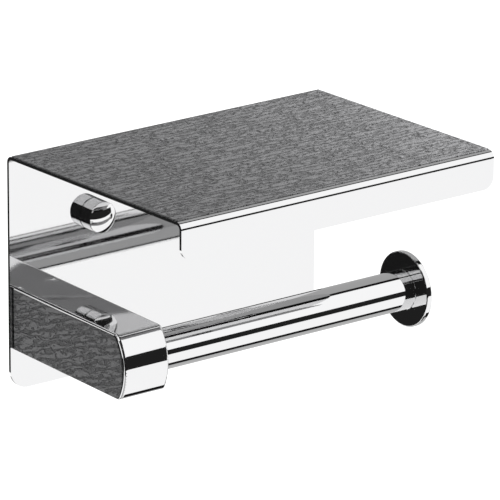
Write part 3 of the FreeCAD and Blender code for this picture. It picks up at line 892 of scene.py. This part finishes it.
class HOLDER_OT_arm(bpy.types.Operator):
    """Arm: casting, side cover and embossed skin"""

    bl_idname = "holder.arm"
    bl_label = "Arm"

    def execute(self, context):
        chrome = polished("polished casting")
        settle(make_arm_shell(), chrome, ["arm_shell"])
        settle(make_arm_cover(), chrome, ["arm_cover"])
        along, across = (0.0, -1.0, ARM_GRAIN_RISE), (0.0, ARM_GRAIN_RISE, 1.0)
        material = dark_skin("arm skin", along, across)
        piece = make_arm_skin()
        emboss(piece, along, across, (-1.0, 0.0, 0.0), material)
        settle(piece, None, ["arm_skin"])
        return {"FINISHED"}


class HOLDER_OT_bar(bpy.types.Operator):
    """Roll bar and its end disc"""

    bl_idname = "holder.bar"
    bl_label = "Bar"

    def execute(self, context):
        low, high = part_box("bar_tube")
        centre = ((low.y + high.y) / 2, (low.z + high.z) / 2)
        radius, wall = (high.y - low.y) / 2, context.scene.holder_bar.wall
        steps = 24
        places = [low.x + (high.x - low.x) * n / steps for n in range(steps + 1)]
        profile = [(x, radius) for x in places] + [(x, radius - wall) for x in reversed(places)]
        tube = turned("bar_tube_polished", profile, along_x(centre))
        bevel(tube, context.scene.holder_bar.tube_edge)
        bake(tube)
        settle(tube, polished("polished tube"), ["bar_tube"])
        self.make_disc(centre, radius - wall)
        return {"FINISHED"}

    def make_disc(self, centre, bore):
        s = bpy.context.scene.holder_bar
        low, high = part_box("end_disc")
        radius = (high.z - low.z) / 2
        near, rim = high.x - s.face, s.rim_round
        profile = [(low.x, s.thread_hole), (low.x, bore - s.spigot_fit), (near, bore - s.spigot_fit)]
        profile += [(near, radius * share) for share in (0.55, 0.7, 0.85)]
        profile += arc((near + rim, radius - rim), rim, 180, 90, 12)
        profile += arc((high.x - rim, radius - rim), rim, 90, 0, 12)
        profile += [(high.x, radius * share) for share in (0.85, 0.6, 0.3)] + [(high.x, 0.0)]
        profile += [(near + s.thread_depth, 0.0), (near + s.thread_depth, s.thread_hole)]
        disc = turned("end_disc_polished", profile, along_x(centre), 192)
        bake(disc)
        settle(disc, polished("polished disc"), ["end_disc"])


class HOLDER_OT_caps(bpy.types.Operator):
    """Screw caps and their bases"""

    bl_idname = "holder.caps"
    bl_label = "Screw caps"

    def execute(self, context):
        chrome = polished("polished cap")
        for side in ("left", "right"):
            self.make_base(side, chrome)
            self.make_cap(side, chrome)
        return {"FINISHED"}

    def make_base(self, side, chrome):
        s = bpy.context.scene.holder_caps
        low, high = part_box(f"cap_base_{side}")
        centre = ((low.x + high.x) / 2, (low.z + high.z) / 2)
        foot, end = -high.y, -low.y
        radius = (high.x - low.x) / 2
        groove, width = foot + s.ring_offset, s.ring_width
        floor = radius - s.ring_depth
        profile = [(foot, s.screw_hole / 2), (foot, radius)]
        profile += [(groove, radius), (groove, floor), (groove + width, floor), (groove + width, radius)]
        profile += [(end, radius), (end, s.head_room / 2)]
        profile += [(foot + s.base_web, s.head_room / 2), (foot + s.base_web, s.screw_hole / 2)]
        base = turned(f"cap_base_{side}_polished", profile, from_wall(centre))
        bevel(base, s.small_edge)
        bake(base)
        settle(base, chrome, [f"cap_base_{side}"])

    def make_cap(self, side, chrome):
        s = bpy.context.scene.holder_caps
        low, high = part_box(f"screw_cap_{side}")
        base_low, base_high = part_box(f"cap_base_{side}")
        centre = ((low.x + high.x) / 2, (low.z + high.z) / 2)
        mouth, end = -high.y, -low.y
        radius = (high.x - low.x) / 2
        bore = (base_high.x - base_low.x) / 2 + s.clearance
        floor = -base_low.y + s.floor_gap
        profile = [(floor, 0.0), (floor, bore), (mouth, bore)]
        profile += [(mouth, radius - s.mouth_bevel), (mouth + s.mouth_bevel, radius)]
        profile += rounded_dome(end - s.dome_rise, radius, s.dome_rise, s.rim_round)
        cap = turned(f"screw_cap_{side}_polished", profile, from_wall(centre))
        bevel(cap, s.small_edge)
        bake(cap)
        settle(cap, chrome, [f"screw_cap_{side}"], f"{side}_cap")


def rounded_dome(shoulder, radius, rise, edge):
    """Outline of a domed end: straight wall, rounded shoulder, shallow dome to the axis."""
    dome = (radius**2 + rise**2) / (2 * rise)
    centre = shoulder + rise - dome
    out = radius - edge
    up = centre + math.sqrt((dome - edge) ** 2 - out**2)
    lean = math.degrees(math.atan2(up - centre, out))
    points = [(up, radius)]
    points += [(y, x) for x, y in arc((out, up), edge, 0, lean, 12)][1:]
    points += [(y, x) for x, y in arc((0.0, centre), dome, lean, 90, 24)][1:]
    points[-1] = (centre + dome, 0.0)
    return points


class HOLDER_OT_fixings(bpy.types.Operator):
    """Materials of the block, screws, inserts, washer, stud and grip rings"""

    bl_idname = "holder.fixings"
    bl_label = "Fixings"

    def execute(self, context):
        steel = plain_metal("screw steel", (0.55, 0.55, 0.56), 0.28, 900.0)
        brass = plain_metal("insert brass", (0.78, 0.57, 0.26), 0.3, 700.0)
        cast = plain_metal("block aluminium", (0.66, 0.67, 0.69), 0.38, 600.0)
        rubber = plain_metal("ring rubber", (0.025, 0.025, 0.026), 0.7, 1500.0, 0.0)
        chosen = {
            "mounting_block": cast, "block_screws": steel, "grub_screw": steel,
            "bar_washer": steel, "bar_bolt": steel, "end_stud": steel,
            "bar_insert": brass, "end_insert": brass,
            "grip_ring_left": rubber, "grip_ring_right": rubber,
        }
        for node, material in chosen.items():
            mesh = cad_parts[node].data
            mesh.materials.clear()
            mesh.materials.append(material)
        return {"FINISHED"}


def card(name, corners, strength):
    """A flat card of the studio that gives off even light; a low strength makes a dark flag."""
    mesh = bpy.data.meshes.new(name)
    mesh.from_pydata([tuple(c) for c in corners], [], [tuple(range(len(corners)))])
    item = bpy.data.objects.new(name, mesh)
    bpy.context.scene.collection.objects.link(item)
    material = bpy.data.materials.new(name)
    material.use_nodes = True
    tree = material.node_tree
    tree.nodes.clear()
    light = joined(tree, "ShaderNodeEmission", {"Color": (1, 1, 1, 1), "Strength": strength})
    joined(tree, "ShaderNodeOutputMaterial", {"Surface": light.outputs[0]})
    mesh.materials.append(material)
    item.visible_camera = False
    item.visible_diffuse = False
    item.visible_shadow = False
    return item


def facing(axis, name, at, first, second, strength):
    """A card square to an axis, at a place on it, between two places on each other axis."""
    around = [(first[0], second[0]), (first[1], second[0]), (first[1], second[1]), (first[0], second[1])]
    spot = "xyz".index(axis)
    return card(name, [(*pair[:spot], at, *pair[spot:]) for pair in around], strength)


class HOLDER_OT_stage(bpy.types.Operator):
    """Pale floor, soft studio light and the camera"""

    bl_idname = "holder.stage"
    bl_label = "Stage"

    def execute(self, context):
        s = context.scene.holder_stage
        self.make_floor(s)
        self.make_light(s)
        self.make_camera(s)
        context.scene.view_settings.view_transform = "Standard"
        return {"FINISHED"}

    def make_floor(self, s):
        reach, z = s.floor_reach, -s.floor_drop
        mesh = bpy.data.meshes.new("floor")
        corners = [(-reach, -reach, z), (reach, -reach, z), (reach, reach, z), (-reach, reach, z)]
        mesh.from_pydata(corners, [], [(0, 1, 2, 3)])
        floor = bpy.data.objects.new("floor", mesh)
        bpy.context.scene.collection.objects.link(floor)
        material, _, shader = new_material("pale floor")
        shader.inputs["Base Color"].default_value = (0.98, 0.98, 0.98, 1.0)
        shader.inputs["Roughness"].default_value = 1.0
        shader.inputs["Specular IOR Level"].default_value = 0.0
        mesh.materials.append(material)

    def make_light(self, s):
        """Even light all round, cards that only the polished metal sees, and a side lamp."""
        world = bpy.data.worlds.new("studio")
        world.use_nodes = True
        world.node_tree.nodes["Background"].inputs["Color"].default_value = (1, 1, 1, 1)
        world.node_tree.nodes["Background"].inputs["Strength"].default_value = s.sky
        bpy.context.scene.world = world
        facing("y", "flag_front", CARD_FRONT, (-5, 5), (-0.78, 0.47), DARK)
        facing("x", "flag_left", CARD_LEFT, (-4, 5), (-1.5, CARD_TOP), DARK)
        facing("x", "flag_right", CARD_REAR, (-0.35, 1.1), (-1.6, 0.4), DARK)
        facing("y", "card_rear", CARD_REAR, (-0.5, 9), (-1.5, CARD_TOP), s.card)
        facing("y", "flag_rear", CARD_REAR - 0.01, (-0.5, 9), (-1.5, -0.55), DARK)
        facing("z", "card_top", CARD_TOP, (-0.3, 6), (0.42, CARD_REAR), s.card)
        facing("z", "flag_top", CARD_TOP, (-0.3, 6), (-0.26, 0.42), DARKEST)
        facing("z", "flag_top_left", CARD_TOP, (CARD_LEFT, -0.3), (-4, CARD_REAR), DARK)
        facing("z", "card_under", CARD_UNDER, (-0.3, 6), (-0.09, CARD_REAR), s.under_card)
        facing("z", "flag_under", CARD_UNDER, (-0.3, 6), (-0.28, -0.09), DARKEST)
        self.make_lamp(s)

    def make_lamp(self, s):
        data = bpy.data.lights.new("side lamp", "AREA")
        data.shape = "DISK"
        data.size = s.lamp_size
        data.energy = s.lamp
        lamp = bpy.data.objects.new("side lamp", data)
        bpy.context.scene.collection.objects.link(lamp)
        away = Vector(s.lamp_place)
        turn = away.to_track_quat("Z", "Y").to_matrix().to_4x4()
        lamp.matrix_world = Matrix.Translation(away) @ turn
        lamp.visible_camera = False
        lamp.visible_glossy = False

    def make_camera(self, s):
        azimuth, elevation, roll = s.azimuth, s.elevation, s.roll
        back = Vector((
            math.sin(azimuth) * math.cos(elevation),
            -math.cos(azimuth) * math.cos(elevation),
            math.sin(elevation),
        ))
        right = Vector((0, 0, 1)).cross(back).normalized()
        up = back.cross(right)
        right, up = (
            right * math.cos(roll) + up * math.sin(roll),
            up * math.cos(roll) - right * math.sin(roll),
        )
        data = bpy.data.cameras.new("camera")
        data.lens = s.lens
        data.sensor_width = 36.0
        data.clip_end = 100.0
        camera = bpy.data.objects.new("camera", data)
        bpy.context.scene.collection.objects.link(camera)
        turn = Matrix((right, up, back)).transposed()
        camera.matrix_world = Matrix.Translation(Vector(s.aim) + back * s.distance) @ turn.to_4x4()
        bpy.context.scene.camera = camera


class HOLDER_PT_panel(bpy.types.Panel):
    """Lists the holder's pieces in the sidebar"""

    bl_label = "Paper Holder"
    bl_idname = "HOLDER_PT_panel"
    bl_space_type = "VIEW_3D"
    bl_region_type = "UI"
    bl_category = "Paper Holder"

    def draw(self, context):
        for operator in OPERATORS:
            self.layout.operator(operator.bl_idname)
        for name, group in SETTINGS.items():
            box = self.layout.box()
            box.label(text=group.__doc__)
            for setting in group.__annotations__:
                box.prop(getattr(context.scene, name), setting)


SETTINGS = {
    "holder_sheet": HolderSheetSettings,
    "holder_arm": HolderArmSettings,
    "holder_grain": HolderGrainSettings,
    "holder_bar": HolderBarSettings,
    "holder_caps": HolderCapSettings,
    "holder_finish": HolderFinishSettings,
    "holder_stage": HolderStageSettings,
}
OPERATORS = (
    HOLDER_OT_sheet,
    HOLDER_OT_shelf_skin,
    HOLDER_OT_arm,
    HOLDER_OT_bar,
    HOLDER_OT_caps,
    HOLDER_OT_fixings,
    HOLDER_OT_stage,
)


def register():
    for name, group in SETTINGS.items():
        bpy.utils.register_class(group)
        setattr(bpy.types.Scene, name, bpy.props.PointerProperty(type=group))
    for operator in OPERATORS:
        bpy.utils.register_class(operator)
    bpy.utils.register_class(HOLDER_PT_panel)


def unregister():
    bpy.utils.unregister_class(HOLDER_PT_panel)
    for operator in reversed(OPERATORS):
        bpy.utils.unregister_class(operator)
    for name, group in SETTINGS.items():
        delattr(bpy.types.Scene, name)
        bpy.utils.unregister_class(group)


def main():
    """Build the holder and its stage."""
    register()
    for operator in OPERATORS:
        group, name = operator.bl_idname.split(".")
        getattr(getattr(bpy.ops, group), name)()


if __name__ == "__main__":
    main()
